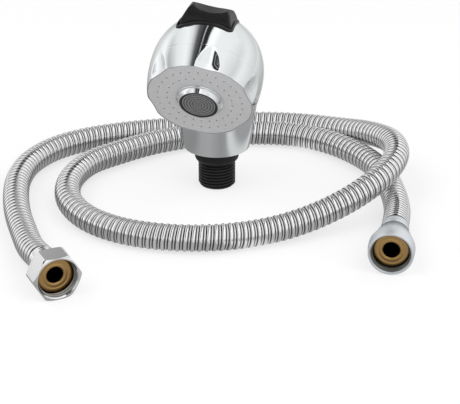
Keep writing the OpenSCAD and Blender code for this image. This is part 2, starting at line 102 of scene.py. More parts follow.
# The hose's centre line, in metres: the route that the CAD hose follows.
ROUTE = [
    (-0.059, -0.1325, 0.0114), (-0.070, -0.118, 0.0092), (-0.080, -0.100, 0.0076),
    (-0.091, -0.079, 0.0075), (-0.100, -0.057, 0.0075), (-0.106, -0.035, 0.0075),
    (-0.107, -0.012, 0.0075), (-0.100, 0.010, 0.0075), (-0.085, 0.028, 0.0075),
    (-0.063, 0.043, 0.0075), (-0.038, 0.055, 0.0075), (-0.013, 0.066, 0.0075),
    (0.012, 0.075, 0.0075), (0.036, 0.0775, 0.0075), (0.060, 0.0695, 0.0102),
    (0.080, 0.0535, 0.016), (0.095, 0.032, 0.021), (0.1005, 0.006, 0.023),
    (0.095, -0.0195, 0.021), (0.081, -0.040, 0.0157), (0.062, -0.0565, 0.0102),
    (0.041, -0.071, 0.0075), (0.018, -0.083, 0.0075), (-0.007, -0.088, 0.0075),
    (-0.032, -0.0855, 0.0075), (-0.054, -0.0745, 0.0075), (-0.070, -0.0555, 0.0075),
    (-0.077, -0.031, 0.0075), (-0.074, -0.006, 0.0075), (-0.061, 0.014, 0.0075),
    (-0.044, 0.033, 0.0075), (-0.022, 0.048, 0.0075), (0.002, 0.057, 0.0075),
    (0.027, 0.0615, 0.0075), (0.051, 0.057, 0.0075), (0.0715, 0.044, 0.0075),
    (0.0885, 0.0245, 0.0075), (0.099, 0.0, 0.0075), (0.106, -0.027, 0.0075),
    (0.109, -0.0605, 0.012),
]

# ---------------------------------------------------------------- camera
AZIMUTH = 12.61
ELEVATION = 25.3
camera = bpy.data.objects.new("camera", bpy.data.cameras.new("camera"))
camera.location = (0.1840, -0.7884, 0.3705)
camera.rotation_euler = (radians(90 - ELEVATION), 0, radians(AZIMUTH))
camera.data.sensor_width = 36
camera.data.lens = 122.1
camera.data.clip_start = 0.01
bpy.context.scene.collection.objects.link(camera)
bpy.context.scene.camera = camera


# ---------------------------------------------------------------- mesh making
def frame_at(origin, x, y, z):
    m = Matrix((x, y, z)).transposed().to_4x4()
    m.translation = origin
    return m


def mouth_frame(ferrule_end, look, length):
    """Z looks out of a nut's mouth, Y is up; the mouth lies ahead of the ferrule's end."""
    out = Vector((sin(radians(look)), -cos(radians(look)), 0))
    side = Vector((cos(radians(look)), sin(radians(look)), 0))
    return frame_at(Vector(ferrule_end) / MM + length * out, side, Vector((0, 0, 1)), out)


tilt = radians(FACE_TILT)
FACE_FRAME = frame_at(FACE, Vector((1, 0, 0)), Vector((0, -sin(tilt), cos(tilt))),
                      Vector((0, -cos(tilt), -sin(tilt))))
UPRIGHT = Matrix.Identity(4)
HEX_FRAME = mouth_frame(ROUTE[0], HEX_LOOK, HEX_FERRULE)
CONE_FRAME = mouth_frame(ROUTE[-1], CONE_LOOK, CONE_FERRULE)


def mesh_object(name, points, faces, place=UPRIGHT, sharp=32, merge=0.0):
    """A new object from points in millimetres in the place's frame."""
    mesh = bpy.data.meshes.new(name)
    mesh.from_pydata([place @ Vector(p) * MM for p in points], [], faces)
    b = bmesh.new()
    b.from_mesh(mesh)
    if merge:
        bmesh.ops.remove_doubles(b, verts=b.verts, dist=merge * MM)
    bmesh.ops.recalc_face_normals(b, faces=b.faces)
    b.to_mesh(mesh)
    b.free()
    mesh.shade_smooth()
    if sharp:
        mesh.set_sharp_from_angle(angle=radians(sharp))
    piece = bpy.data.objects.new(name, mesh)
    bpy.context.scene.collection.objects.link(piece)
    return piece


def grid_faces(rows, n, closed, wound=None):
    """Quads between rings of n points; closed joins the last ring to the first.

    wound is (first row, last row, shift): there the rings climb like a thread, so a ring's last
    point joins the first point of the ring that lies one turn further on.
    """
    faces = []
    for i in range(rows if closed else rows - 1):
        j = (i + 1) % rows
        for k in range(n - 1):
            faces.append((i * n + k, i * n + k + 1, j * n + k + 1, j * n + k))
        a, b = i, j
        if wound and wound[0] <= i < wound[1]:
            a, b = i + wound[2], j + wound[2]
            if a < wound[0] or b > wound[1]:
                continue
        faces.append((i * n + n - 1, a * n, b * n, j * n + n - 1))
    return faces


def ring(r, z, n):
    """n points around Z; r and z are numbers or functions of the angle."""
    out = []
    for k in range(n):
        a = 2 * pi * k / n
        radius = r(a) if callable(r) else r
        height = z(a) if callable(z) else z
        out.append((radius * cos(a), radius * sin(a), height))
    return out


def lathe(name, profile, place, n=96, sharp=32, closed=True):
    """A turned piece; profile is (radius, height) points, and closed joins its ends."""
    points = [p for r, z in profile for p in ring(r, z, n)]
    return mesh_object(name, points, grid_faces(len(profile), n, closed), place, sharp, MERGE)


def thread_rings(base, depth, pitch, z0, z1, n, steps=THREAD_STEPS):
    """Rings of a right-hand V thread from z0 to z1, cut to base + depth, fading out at its ends."""
    step_up = 1 if z1 > z0 else -1
    turns = int(abs(z1 - z0) / pitch) + 3
    rings = []
    for j in range(turns * steps + 1):
        crest = 0.5 - 0.5 * cos(2 * pi * j / steps)
        crest = min(1, max(0, 1.25 * crest - 0.1))
        points = []
        for k in range(n):
            a = 2 * pi * k / n
            along = (j / steps + step_up * k / n - 1) * pitch
            along = min(abs(z1 - z0), max(0, along))
            fade = min(1, along / (0.5 * pitch), (abs(z1 - z0) - along) / (0.5 * pitch))
            r = base + depth * crest * fade
            points.append((r * cos(a), r * sin(a), z0 + step_up * along))
        rings.append(points)
    return rings


def rings_object(name, rings, place, sharp=32, wound=None):
    points = [p for r in rings for p in r]
    faces = grid_faces(len(rings), len(rings[0]), True, wound)
    return mesh_object(name, points, faces, place, sharp, MERGE)


def prism(name, outline, z0, z1, place=UPRIGHT):
    n = len(outline)
    points = [(x, y, z0) for x, y in outline] + [(x, y, z1) for x, y in outline]
    faces = [(k, (k + 1) % n, n + (k + 1) % n, n + k) for k in range(n)]
    faces += [tuple(range(n - 1, -1, -1)), tuple(range(n, 2 * n))]
    return mesh_object(name, points, faces, place)


def apply_modifiers(piece):
    depsgraph = bpy.context.evaluated_depsgraph_get()
    baked = bpy.data.meshes.new_from_object(piece.evaluated_get(depsgraph))
    piece.modifiers.clear()
    piece.data = baked


def combine(piece, other, how):
    """Joins, cuts or intersects piece with other, and drops other."""
    modifier = piece.modifiers.new("combine", "BOOLEAN")
    modifier.operation = how
    modifier.solver = "EXACT"
    modifier.object = other
    apply_modifiers(piece)
    bpy.data.objects.remove(other)
    return piece


def soften(piece, voxel, rounds, factor=0.6):
    """Rounds every edge a little, as moulded plastic has them."""
    remesh = piece.modifiers.new("remesh", "REMESH")
    remesh.mode = "VOXEL"
    remesh.voxel_size = voxel * MM
    smooth = piece.modifiers.new("smooth", "SMOOTH")
    smooth.iterations = rounds
    smooth.factor = factor
    apply_modifiers(piece)
    piece.data.shade_smooth()
    return piece


# ---------------------------------------------------------------- materials
class Nodes:
    """Builds a material's node tree from short calls."""

    def __init__(self, name, **principled):
        self.material = bpy.data.materials.new(name)
        self.material.use_nodes = True
        self.tree = self.material.node_tree
        self.shader = self.tree.nodes["Principled BSDF"]
        for key, value in principled.items():
            self.shader.inputs[key.replace("_", " ")].default_value = value

    def add(self, kind, **values):
        node = self.tree.nodes.new(kind)
        for key, value in values.items():
            if key in node.inputs:
                node.inputs[key].default_value = value
            else:
                setattr(node, key, value)
        return node

    def link(self, source, target):
        self.tree.links.new(source, target)

    def where(self, scale=(1, 1, 1)):
        """Object coordinates, stretched."""
        mapping = self.add("ShaderNodeMapping")
        mapping.inputs["Scale"].default_value = scale
        self.link(self.add("ShaderNodeTexCoord").outputs["Object"], mapping.inputs["Vector"])
        return mapping.outputs["Vector"]

    def noise(self, scale, detail=4, stretch=(1, 1, 1)):
        node = self.add("ShaderNodeTexNoise", Scale=scale, Detail=detail)
        self.link(self.where(stretch), node.inputs["Vector"])
        return node.outputs["Fac"]

    def spread(self, source, low, high, start=0.3, end=0.7):
        """Maps a noise from start..end to low..high."""
        node = self.add("ShaderNodeMapRange")
        ends = ("From Min", start), ("From Max", end), ("To Min", low), ("To Max", high)
        for name, value in ends:
            node.inputs[name].default_value = value
        self.link(source, node.inputs["Value"])
        return node.outputs["Result"]

    def mix(self, factor, a, b):
        node = self.add("ShaderNodeMix", data_type="RGBA")
        node.inputs[6].default_value = (*a, 1)
        node.inputs[7].default_value = (*b, 1)
        self.link(factor, node.inputs[0])
        return node.outputs[2]

    def colour(self, source):
        self.link(source, self.shader.inputs["Base Color"])

    def roughness(self, source):
        self.link(source, self.shader.inputs["Roughness"])

    def bump(self, height, strength, distance):
        node = self.add("ShaderNodeBump", Strength=strength, Distance=distance)
        self.link(height, node.inputs["Height"])
        self.link(node.outputs["Normal"], self.shader.inputs["Normal"])

    def edges(self, low, high):
        """How sharply the surface turns outwards, for wear along edges."""
        return self.spread(self.add("ShaderNodeNewGeometry").outputs["Pointiness"], 0, 1, low, high)


def metal(name, tone, rough, wear=0.04, grain=900, grain_strength=0.03, metallic=1.0, painted_shade=None):
    """Plated or turned metal: even colour, with fine grain and faint wipe marks.

    painted_shade is a darker colour that it takes where a mesh's "painted_shade" attribute is 1: painted
    shade, for the darkness inside bores and threads.
    """
    m = Nodes(name, Metallic=metallic)
    dark = tuple(c * (1 - wear) for c in tone)
    clean = m.mix(m.noise(60, 5), dark, tone)
    # Painted shade: the colour darkens where the attribute marks a bore or a thread.
    if painted_shade:
        marked = m.add("ShaderNodeAttribute", attribute_name="painted_shade").outputs["Fac"]
        shaded = m.mix(marked, tone, painted_shade)
        m.link(clean, shaded.node.inputs[6])
        clean = shaded
    m.colour(clean)
    m.roughness(m.spread(m.noise(140, 6), rough * 0.75, rough * 1.3))
    m.bump(m.noise(grain, 3), grain_strength, 0.00004)
    return m.material


def plastic(name, tone, light, rough, coat=0.0):
    """Moulded plastic or rubber: fine leather-like grain, paler where edges are worn."""
    m = Nodes(name, Coat_Weight=coat, Coat_Roughness=0.12, Specular_IOR_Level=0.3)
    m.colour(m.mix(m.edges(0.5, 0.56), tone, light))
    m.roughness(m.spread(m.noise(500, 4), rough * 0.85, rough * 1.2))
    m.bump(m.noise(2600, 2), 0.12, 0.00005)
    return m.material


CHROME = metal("polished_chrome", (0.86, 0.885, 0.895), 0.05, grain=240, grain_strength=0.012)
SATIN_PLATE = metal("satin_plate", (0.68, 0.68, 0.69), 0.4, wear=0.03, grain=3800,
                    grain_strength=0.2, metallic=0.4)
STEEL = metal("stainless_steel", (0.7, 0.7, 0.69), 0.22)
# The last colour given to each of these three is painted shade, for the inside of the nuts' threads and
# the tails' bores.
NUT_CHROME = metal("nut_chrome", (0.92, 0.92, 0.93), 0.13, grain=700, grain_strength=0.05,
                   painted_shade=(0.3, 0.3, 0.28))
SATIN_NUT = metal("satin_nut", (0.86, 0.89, 0.92), 0.5, grain=2400, grain_strength=0.08,
                  painted_shade=(0.16, 0.16, 0.15))
BRASS = metal("turned_brass", (0.66, 0.41, 0.16), 0.34, wear=0.35, grain=1600, grain_strength=0.15,
              painted_shade=(0.012, 0.009, 0.006))
BLACK = plastic("black_plastic", (0.006, 0.006, 0.0065), (0.02, 0.02, 0.021), 0.32, coat=0.08)
INLET_BLACK = plastic("inlet_black", (0.006, 0.006, 0.0065), (0.03, 0.03, 0.03), 0.4)
RUBBER = plastic("black_rubber", (0.01, 0.01, 0.01), (0.03, 0.03, 0.03), 0.6)
RIB_GREY = plastic("rib_grey", (0.1, 0.1, 0.1), (0.22, 0.22, 0.22), 0.4)
IVORY = plastic("ivory_plastic", (0.75, 0.73, 0.66), (0.85, 0.84, 0.8), 0.5)


def hose_steel():
    """Polished strip: bright crowns, with painted shade darkening the grooves."""
    m = Nodes("hose_steel", Metallic=1.0)
    groove = m.add("ShaderNodeAttribute", attribute_name="groove").outputs["Fac"]
    m.colour(m.mix(groove, (0.97, 0.97, 0.97), (0.12, 0.12, 0.12)))
    m.roughness(m.spread(m.noise(300, 5), 0.09, 0.16))
    m.bump(m.noise(1400, 3), 0.05, 0.00004)
    return m.material


HOSE_STEEL = hose_steel()


def show(piece, material, body, slot, *stands_for):
    """Gives a piece its material and its body, and hides the CAD nodes that it stands for; slot, its
    finish's name, is not used.
    """
    piece.data.materials.clear()
    piece.data.materials.append(material)
    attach(piece, body)
    if stands_for:
        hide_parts(*stands_for)
    return piece


def mark_painted_shade(piece, place, radius, depth):
    """Marks the points nearer a place's axis than radius and further in than depth, where painted shade
    goes.
    """
    inward = place.inverted()
    values = []
    for v in piece.data.vertices:
        p = inward @ (v.co / MM)
        values.append(1.0 if hypot(p.x, p.y) < radius and p.z < -depth else 0.0)
    piece.data.attributes.new("painted_shade", "FLOAT", "POINT").data.foreach_set("value", values)
    return piece


# ---------------------------------------------------------------- hose
def spline(points, k):
    """The points a CAD hose's rings stand on: a Catmull-Rom curve, k steps a span."""
    p = [np.array(q) for q in points]
    p = [2 * p[0] - p[1]] + p + [2 * p[-1] - p[-2]]
    out = []
    for i in range(1, len(p) - 2):
        a, b, c, d = p[i - 1:i + 3]
        for j in range(k):
            u = j / k
            out.append(0.5 * (2 * b + (c - a) * u + (2 * a - 5 * b + 4 * c - d) * u * u
                              + (3 * b - a - 3 * c + d) * u ** 3))
    out.append(p[-2])
    return np.array(out)


# One turn of the strip: (share of the pitch, depth below the crown, how much painted shade darkens the
# groove)
STRIP = [
    (0.00, 0.74, 1.0), (0.04, 0.34, 0.6), (0.10, 0.12, 0.15), (0.18, 0.02, 0), (0.28, 0.0, 0),
    (0.38, 0.02, 0), (0.46, 0.12, 0.15), (0.52, 0.34, 0.6), (0.56, 0.77, 1.0), (0.65, 0.80, 1.0),
    (0.69, 0.50, 0.4), (0.76, 0.38, 0), (0.83, 0.38, 0), (0.90, 0.50, 0.4), (0.94, 0.80, 1.0),
]


def hose():
    sides = 32
    centres = spline(ROUTE, 16) / MM
    steps = np.linalg.norm(np.diff(centres, axis=0), axis=1)
    at = np.concatenate([[0], np.cumsum(steps)])
    length = at[-1]
    along = np.gradient(centres, at, axis=0)
    along /= np.linalg.norm(along, axis=1)[:, None]
    side = np.cross(along, [0, 0, 1])
    side /= np.linalg.norm(side, axis=1)[:, None]
    up = np.cross(side, along)

    def sample(table, s):
        return np.stack([np.interp(s, at, table[:, axis]) for axis in range(3)], axis=1)

    turns = int(length / HOSE_PITCH) + 3
    angles = 2 * pi * np.arange(sides) / sides
    points = []
    groove = []
    for turn in range(turns):
        for share, depth, dark in STRIP:
            s = (turn - 1 + share + np.arange(sides) / sides) * HOSE_PITCH
            s = np.clip(s, 0, length)
            fade = np.clip(np.minimum(s, length - s) / 0.6, 0, 1)
            r = HOSE_D / 2 - 0.02 - depth * fade
            ring_points = (sample(centres, s) + sample(side, s) * (r * np.cos(angles))[:, None]
                           + sample(up, s) * (r * np.sin(angles))[:, None])
            points.extend(map(tuple, ring_points))
            # Painted shade for the grooves, fading out at the hose's ends.
            groove.extend(dark * fade)
    rows = turns * len(STRIP)
    faces = grid_faces(rows, sides, False, (0, rows - 1, len(STRIP)))
    mesh = bpy.data.meshes.new("hose")
    mesh.from_pydata([Vector(p) * MM for p in points], [], faces)
    mesh.attributes.new("groove", "FLOAT", "POINT").data.foreach_set("value", groove)
    b = bmesh.new()
    b.from_mesh(mesh)
    bmesh.ops.remove_doubles(b, verts=b.verts, dist=MERGE * MM)
    bmesh.ops.recalc_face_normals(b, faces=b.faces)
    b.to_mesh(mesh)
    b.free()
    mesh.shade_smooth()
    mesh.set_sharp_from_angle(angle=radians(60))
    piece = bpy.data.objects.new("strip_wound_hose", mesh)
    bpy.context.scene.collection.objects.link(piece)
    show(piece, HOSE_STEEL, "hose", "hose_steel", "hose_cover")
    return piece, length * MM


hose_piece, hose_length = hose()


# ---------------------------------------------------------------- nuts, ferrules, tails
def nut_inside(back, n):
    """A plug the shape of a nut's inside: countersink, thread, relieved seat and rear hole."""
    front = [(THREAD_R + 0.3, 1), (THREAD_R + 0.3, 0.3), (THREAD_R + 0.15, 0),
             (THREAD_R - 0.1, -0.3), (THREAD_R - 0.5, -0.8)]
    rings = [ring(r, z, n) for r, z in front]
    thread = thread_rings(THREAD_R - 0.25, THREAD_MINOR_R - THREAD_R + 0.3, THREAD_PITCH,
                          -0.9, -RECESS, n)
    wound = (len(rings), len(rings) + len(thread) - 1, -THREAD_STEPS)
    seat, rear = THREAD_MINOR_R + 0.3, SHANK_R + 0.06
    rings += thread
    rings += [ring(r, z, n) for r, z in (
        (seat, -RECESS - 0.1), (seat, -SHOULDER), (rear, -SHOULDER), (rear, -back - 1),
        (0.01, -back - 1), (0.01, 1))]
    return rings_object("nut_inside", rings, UPRIGHT, 0, wound)


def nut(name, piece, place, back):
    """Cuts the inside out of a nut made at the origin, and moves it to its place."""
    combine(piece, nut_inside(back, 144), "DIFFERENCE")
    piece.data.set_sharp_from_angle(angle=radians(24))
    # Painted shade on the nut's inner thread, where little light reaches.
    mark_painted_shade(piece, UPRIGHT, THREAD_R + 0.05, 0.35)
    piece.data.transform(Matrix.Translation(place.translation * MM) @ place.to_3x3().to_4x4())
    piece.name = name
    return piece


def hex_nut():
    corner = HEX_AF / 2 / cos(pi / 6)
    sides = []
    for k in range(6):
        for off in (-0.05, 0.05):
            a = k * pi / 3 + off
            r = HEX_AF / 2 / cos(pi / 6 - abs(off))
            sides.append((r * cos(a), r * sin(a)))
    turned = [(0.01, -HEX_L), (corner - 2.6, -HEX_L), (corner - 2.2, -HEX_L + 0.1),
              (corner - 0.5, -HEX_L + 0.8), (corner - 0.15, -HEX_L + 1.2), (corner, -HEX_L + 1.8),
              (corner, -1.9), (corner - 0.25, -1.3), (corner - 0.8, -0.7), (corner - 1.35, -0.25),
              (corner - 1.6, -0.08), (corner - 1.8, 0), (0.01, 0)]
    piece = prism("hexagon", sides, -HEX_L - 1, 1)
    combine(piece, lathe("turned", turned, UPRIGHT, 144), "INTERSECT")
    return nut("hexagon_nut", piece, HEX_FRAME, HEX_L)


def cone_nut():
    outline = [(0.01, -CONE_L), (7.75, -CONE_L), (8.05, -CONE_L + 0.12), (8.3, -CONE_L + 0.6),
               (CONE_R - 0.8, -10.4), (CONE_R - 0.35, -9.2), (CONE_R - 0.1, -8.2), (CONE_R, -7),
               (CONE_R - 0.03, -5), (CONE_R - 0.35, -0.9), (CONE_R - 0.5, -0.3), (CONE_R - 0.75, -0.05),
               (CONE_R - 0.95, 0), (0.01, 0)]
    return nut("conical_nut", lathe("turned", outline, UPRIGHT, 144, 40), CONE_FRAME, CONE_L)


def tail(name, place, ferrule_start, ferrule_end):
    r = FLANGE_R
    front = -RECESS
    shoulder = -ferrule_start - SHOULDER_DEPTH
    profile = [
        (TAIL_BORE_R, -ferrule_end + 0.5), (TAIL_BORE_R, -ferrule_start),
        (TAIL_MOUTH_R, -ferrule_start), (TAIL_MOUTH_R, front - 0.7), (4.3, front - 0.5),
        (4.75, front - 0.08), (4.9, front), (5.9, front), (6.15, front - 0.14), (7.0, front - 0.16),
        (7.25, front - 0.02), (7.4, front), (r - 0.55, front), (r - 0.2, front - 0.15),
        (r, front - 0.5), (r, front - FLANGE_T), (SHANK_R, front - FLANGE_T), (SHANK_R, shoulder),
        (BARB_R, shoulder), (BARB_R, -ferrule_end + 0.5),
    ]
    # Painted shade, near black, down the bore behind the mouth.
    return mark_painted_shade(lathe(name, profile, place, 96, 40), place, 4.25, RECESS + 0.55)


def ferrule(name, place, start, end, dented):
    outer = HOSE_D / 2 + 0.2
    dents = []
    dent_first, dent_pitch = start + 1.6, 1.9
    while dented and dent_first < end - 1.2:
        dents += [(outer, -dent_first + 0.55), (outer - 0.16, -dent_first + 0.3),
                  (outer - 0.22, -dent_first), (outer - 0.16, -dent_first - 0.3),
                  (outer, -dent_first - 0.55)]
        dent_first += dent_pitch
    profile = [(SLEEVE_HOLE_R, -start), (outer - 0.5, -start), (outer - 0.12, -start - 0.15),
               (outer, -start - 0.5)]
    profile += dents
    profile += [(outer, -end + 0.4), (outer - 0.12, -end + 0.1), (outer - 0.4, -end),
                (SLEEVE_BORE_R, -end), (SLEEVE_BORE_R, -start - SHOULDER_DEPTH),
                (SLEEVE_HOLE_R, -start - SHOULDER_DEPTH)]
    return lathe(name, profile, place, 96, 45)


hex_start, cone_start = HEX_L + 0.2, CONE_L + 0.2
hex_piece = show(hex_nut(), NUT_CHROME, "hex_nut", "nut_chrome", "hex_nut")
cone_piece = show(cone_nut(), SATIN_NUT, "cone_nut", "satin_nut", "cone_nut")
cord_pieces = [
    hex_piece, cone_piece,
    show(tail("hex_end_brass", HEX_FRAME, hex_start, HEX_FERRULE), BRASS, "hose", "brass_tail",
         "hex_end_tail"),
    show(tail("cone_end_brass", CONE_FRAME, cone_start, CONE_FERRULE), BRASS, "hose", "brass_tail",
         "cone_end_tail"),
    show(ferrule("hex_end_sleeve", HEX_FRAME, hex_start, HEX_FERRULE, True), NUT_CHROME, "hose",
         "nut_chrome", "hex_end_ferrule"),
    show(ferrule("cone_end_sleeve", CONE_FRAME, cone_start, CONE_FERRULE, False), SATIN_NUT, "hose",
         "satin_nut", "cone_end_ferrule"),
    NODES["hex_end_slip_ring"], NODES["cone_end_slip_ring"], NODES["hose_liner"],
]


# ---------------------------------------------------------------- head: shell
BACK_REACH = BULB_DEPTH - WIDEST
FRONT_REACH = WIDEST / (1 - (RIM_R / BULB_R) ** POWER) ** (1 / POWER)


def bulge(u):
    return max(0, 1 - abs(u) ** POWER) ** (1 / POWER)


def bulb_radius(t, inset=0):
    if t < WIDEST:
        return bulge((WIDEST - t) / FRONT_REACH) * BULB_R - inset
    return bulge((t - WIDEST) / (BACK_REACH - inset)) * (BULB_R - inset)


# Depth behind the face, against how deep a scoop is there and its radius of curvature
SCOOP_DEPTHS = (0, 1.5, 4, 8, 11, SCOOP_L), (SCOOP_DEPTH, 1.45, 1.8, 1.15, 0.4, 0)
SCOOP_CURVES = (0, 1.5, 4, SCOOP_L), (55, 28, 16, 12)


def scoop_radius(t, a, inset=0):
    """How far from the face's axis the nearest scoop's surface is, at depth t and angle a."""
    pitch = 2 * pi / SCOOPS
    off = (a - radians(SCOOP_FIRST) + pitch / 2) % pitch - pitch / 2
    curve = np.interp(t, *SCOOP_CURVES)
    middle = bulb_radius(t) - np.interp(t, *SCOOP_DEPTHS) + curve
    if abs(middle * sin(off)) >= curve:
        return 1e3
    return middle * cos(off) - sqrt(curve ** 2 - (middle * sin(off)) ** 2) - inset


def bulb(name, inset=0, scooped=False, first=0.0):
    """The bulb as a closed solid; its front is flat, at depth first."""
    n = 432 if scooped else 96
    front_steps = 68 if scooped else 12
    depths = [first + (WIDEST - first) * i / front_steps for i in range(front_steps)]
    back = BACK_REACH - inset
    turn_steps = 60 if scooped else 24
    depths += [WIDEST + back * sin(pi / 2 * i / turn_steps) ** (2 / POWER) for i in range(turn_steps)]
    seam_depth, seam_width, ease = 0.1, 0.22, 0.14
    rings = []
    for t in depths:
        radius = bulb_radius(t, inset)

        def at(a):
            r = radius
            if scooped:
                r -= seam_depth * 2.718 ** (-((t - SCOOP_L) / seam_width) ** 2)
                if t < SCOOP_L + 1:
                    over = radius - scoop_radius(t, a)
                    r -= 0.5 * (over + hypot(over, ease)) if over > -2 else 0
            return r
        rings.append(ring(at, -t, n))
    points = [p for r in rings for p in r] + [(0, 0, -first), (0, 0, -(BULB_DEPTH - inset))]
    faces = grid_faces(len(rings), n, False)
    last = (len(rings) - 1) * n
    hub = len(rings) * n
    faces += [(hub, (k + 1) % n, k) for k in range(n)]
    faces += [(last + k, last + (k + 1) % n, hub + 1) for k in range(n)]
    return mesh_object(name, points, faces, FACE_FRAME)


def nape(name, inset=0, lift=0):
    """The swept neck: the hull of its lower rim and two rings inside the bulb."""
    n = 160
    b = bmesh.new()
    rings = [(UPRIGHT, NECK_R - inset, NECK_Z + lift), (UPRIGHT, NECK_R - inset, NECK_Z + 10 + lift)]
    rings += [(FACE_FRAME, bulb_radius(t, 0) - 0.4 - inset, -t) for t in (28, 34, 40)]
    for place, r, z in rings:
        for p in ring(r, z, n):
            b.verts.new(place @ Vector(p) * MM)
    hull = bmesh.ops.convex_hull(b, input=b.verts)
    bmesh.ops.delete(b, geom=[v for v in b.verts if not v.link_faces], context="VERTS")
    bmesh.ops.recalc_face_normals(b, faces=b.faces)
    mesh = bpy.data.meshes.new(name)
    b.to_mesh(mesh)
    b.free()
    piece = bpy.data.objects.new(name, mesh)
    bpy.context.scene.collection.objects.link(piece)
    return piece


def rounded_rectangle(length, width, corner, steps=8):
    out = []
    for cx, cy, start in ((1, 1, 0), (-1, 1, 90), (-1, -1, 180), (1, -1, 270)):
        for i in range(steps + 1):
            a = radians(start + 90 * i / steps)
            out.append((cx * (length / 2 - corner) + corner * cos(a),
                        cy * (width / 2 - corner) + corner * sin(a)))
    return out


def scalloped(inset, t, n=432):
    """The face's outline with its scoops, pulled in by inset."""
    return ring(lambda a: min(bulb_radius(max(t, 0)), scoop_radius(max(t, 0), a)) - inset, -t, n)


def shell():
    piece = bulb("head_shell", scooped=True)
    combine(piece, nape("nape"), "UNION")
    combine(piece, bulb("bulb_inside", WALL, first=PLATE_T + 0.6), "DIFFERENCE")
    combine(piece, nape("nape_inside", WALL, NECK_FLOOR), "DIFFERENCE")
    recess = [p for t in (-1, PLATE_T + 0.05) for p in scalloped(LIP + 0.03, t)]
    n = len(recess) // 2
    faces = grid_faces(2, n, False) + [tuple(range(n - 1, -1, -1)), tuple(range(n, 2 * n))]
    combine(piece, mesh_object("recess", recess, faces, FACE_FRAME), "DIFFERENCE")
    opening = [(x, y + ROCKER_Y) for x, y in rounded_rectangle(BEZEL_L + 0.1, BEZEL_W + 0.1, 3)]
    combine(piece, prism("pocket", opening, PIVOT_Z - 4, PIVOT_Z + 30), "DIFFERENCE")
    hole = [(x, y) for x, y, z in ring(COLLAR_R + 0.05, 0, 96)]
    combine(piece, prism("neck_hole", hole, NECK_Z - 1, NECK_Z + 5), "DIFFERENCE")
    piece.data.shade_smooth()
    piece.data.set_sharp_from_angle(angle=radians(28))
    return piece


show(shell(), CHROME, "head", "polished_chrome", "body_shell")


# ---------------------------------------------------------------- head: aerator
def aerator_collar():
    r, h = AERATOR_R, AERATOR_H
    profile = [(8.0, 0.6), (10.2, 0.6), (10.3, 0.8), (10.3, h - 0.25), (10.42, h - 0.06), (10.6, h),
               (r - 0.08, h), (r, h - 0.12), (r + 0.12, h - 0.7), (r + 1.05, 1.15), (r + 1.2, 0.95),
               (r + 1.75, 0.8), (r + 1.95, 0.62), (r + 2.0, 0.3), (r + 2.0, 0.01), (9.4, 0.01),
               (9.4, -8.6), (8.0, -8.6)]
    return lathe("aerator_ring", profile, FACE_FRAME, 144, 40)


def annulus(points, faces, r0, r1, z0, z1, n=72):
    """Adds a square-section ring to a mesh's points and faces."""
    base = len(points)
    for r, z in ((r0, z0), (r0, z1), (r1, z1), (r1, z0)):
        points.extend(ring(r, z, n))
    faces.extend(tuple(base + i for i in face) for face in grid_faces(4, n, True))


def ribs(points, faces, r0, r1, count, width, z0, z1):
    """Adds radial bars between two radii."""
    for k in range(count):
        a = 2 * pi * k / count
        base = len(points)
        for z in (z0, z1):
            for x, y in ((r0, -width / 2), (r1, -width / 2), (r1, width / 2), (r0, width / 2)):
                points.append((x * cos(a) - y * sin(a), x * sin(a) + y * cos(a), z))
        corners = ((0, 1, 2, 3), (7, 6, 5, 4), (0, 4, 5, 1), (1, 5, 6, 2), (2, 6, 7, 3),
                   (3, 7, 4, 0))
        faces.extend(tuple(base + i for i in face) for face in corners)


def aerator_insert():
    points, faces = [], []
    top = AERATOR_H - 0.45
    circles = (0.9, 2.5, 4.1, 5.7, 7.2, 8.7)
    for r in circles:
        annulus(points, faces, r - 0.28, r + 0.28, 0.9, top)
    for r0, r1 in zip(circles, circles[1:]):
        ribs(points, faces, r0 + 0.2, r1 - 0.2, int(5 * (r0 + r1) / 2) + 4, 0.34, 0.9, top - 0.25)
    annulus(points, faces, 0.01, 9.2, 0.65, 0.95)
    return mesh_object("aerator_grille", points, faces, FACE_FRAME, 30)


def seal():
    profile = [(9.3, 0.65), (9.3, AERATOR_H - 0.3), (9.45, AERATOR_H - 0.12), (9.7, AERATOR_H - 0.08),
               (10.1, AERATOR_H - 0.1), (10.25, AERATOR_H - 0.25), (10.25, 0.65)]
    return lathe("aerator_gasket", profile, FACE_FRAME, 96, 50)


show(aerator_collar(), CHROME, "head", "polished_chrome", "aerator_collar")
show(aerator_insert(), RIB_GREY, "head", "dark_plastic", "aerator_insert")
show(seal(), RUBBER, "head", "black_rubber", "aerator_seal")


